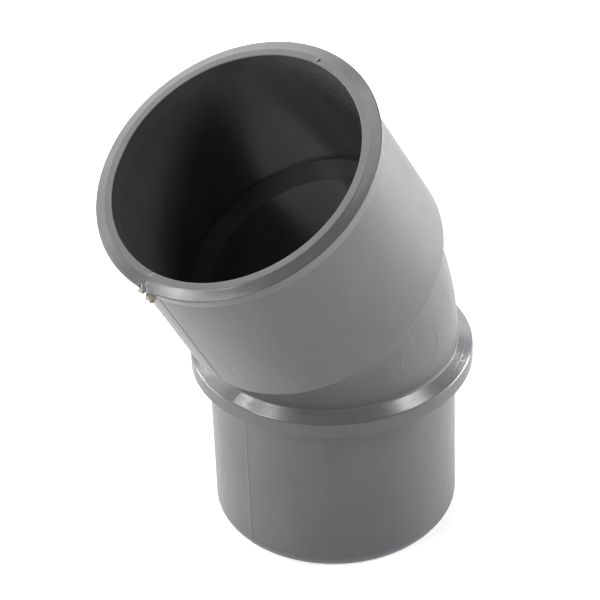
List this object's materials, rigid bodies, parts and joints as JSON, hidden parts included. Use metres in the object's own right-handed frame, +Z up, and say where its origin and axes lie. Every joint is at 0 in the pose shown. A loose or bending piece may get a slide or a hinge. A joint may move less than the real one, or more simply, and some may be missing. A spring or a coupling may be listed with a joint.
{
  "type": "pipe elbow",
  "caption": "Short grey plastic elbow that turns a pipe run by 30 degrees: a rimmed socket takes a pipe end, and a plain spigot with a stop collar pushes into the next socket.",
  "frame": {"origin": "centre of the fitting's footprint box, at the height of the spigot's flat end, with the spigot pointing straight down", "axes": "+Z up the spigot's axis, from its end to the socket; the socket leans 30 degrees from +Z towards -X; the XZ plane is the plane of the bend and of mirror symmetry; the spigot's axis is the line x = 10.36 mm, y = 0"},
  "size_m": [0.078, 0.058, 0.1047],
  "materials": {
    "grey_pvc": "satin moulded grey PVC-U, glossier on the collar's bevel and inside the socket",
    "torn_pvc": "rough, stress-whitened and slightly yellowed where the feed was torn off"
  },
  "bodies": {
    "root": {"socket_rim": "grey_pvc", "socket_barrel": "grey_pvc", "pipe_stop": "grey_pvc", "bend_neck": "grey_pvc", "stop_collar": "grey_pvc", "spigot": "grey_pvc", "gate_stub_upper": "torn_pvc", "gate_stub_lower": "torn_pvc"}
  },
  "joints": []
}
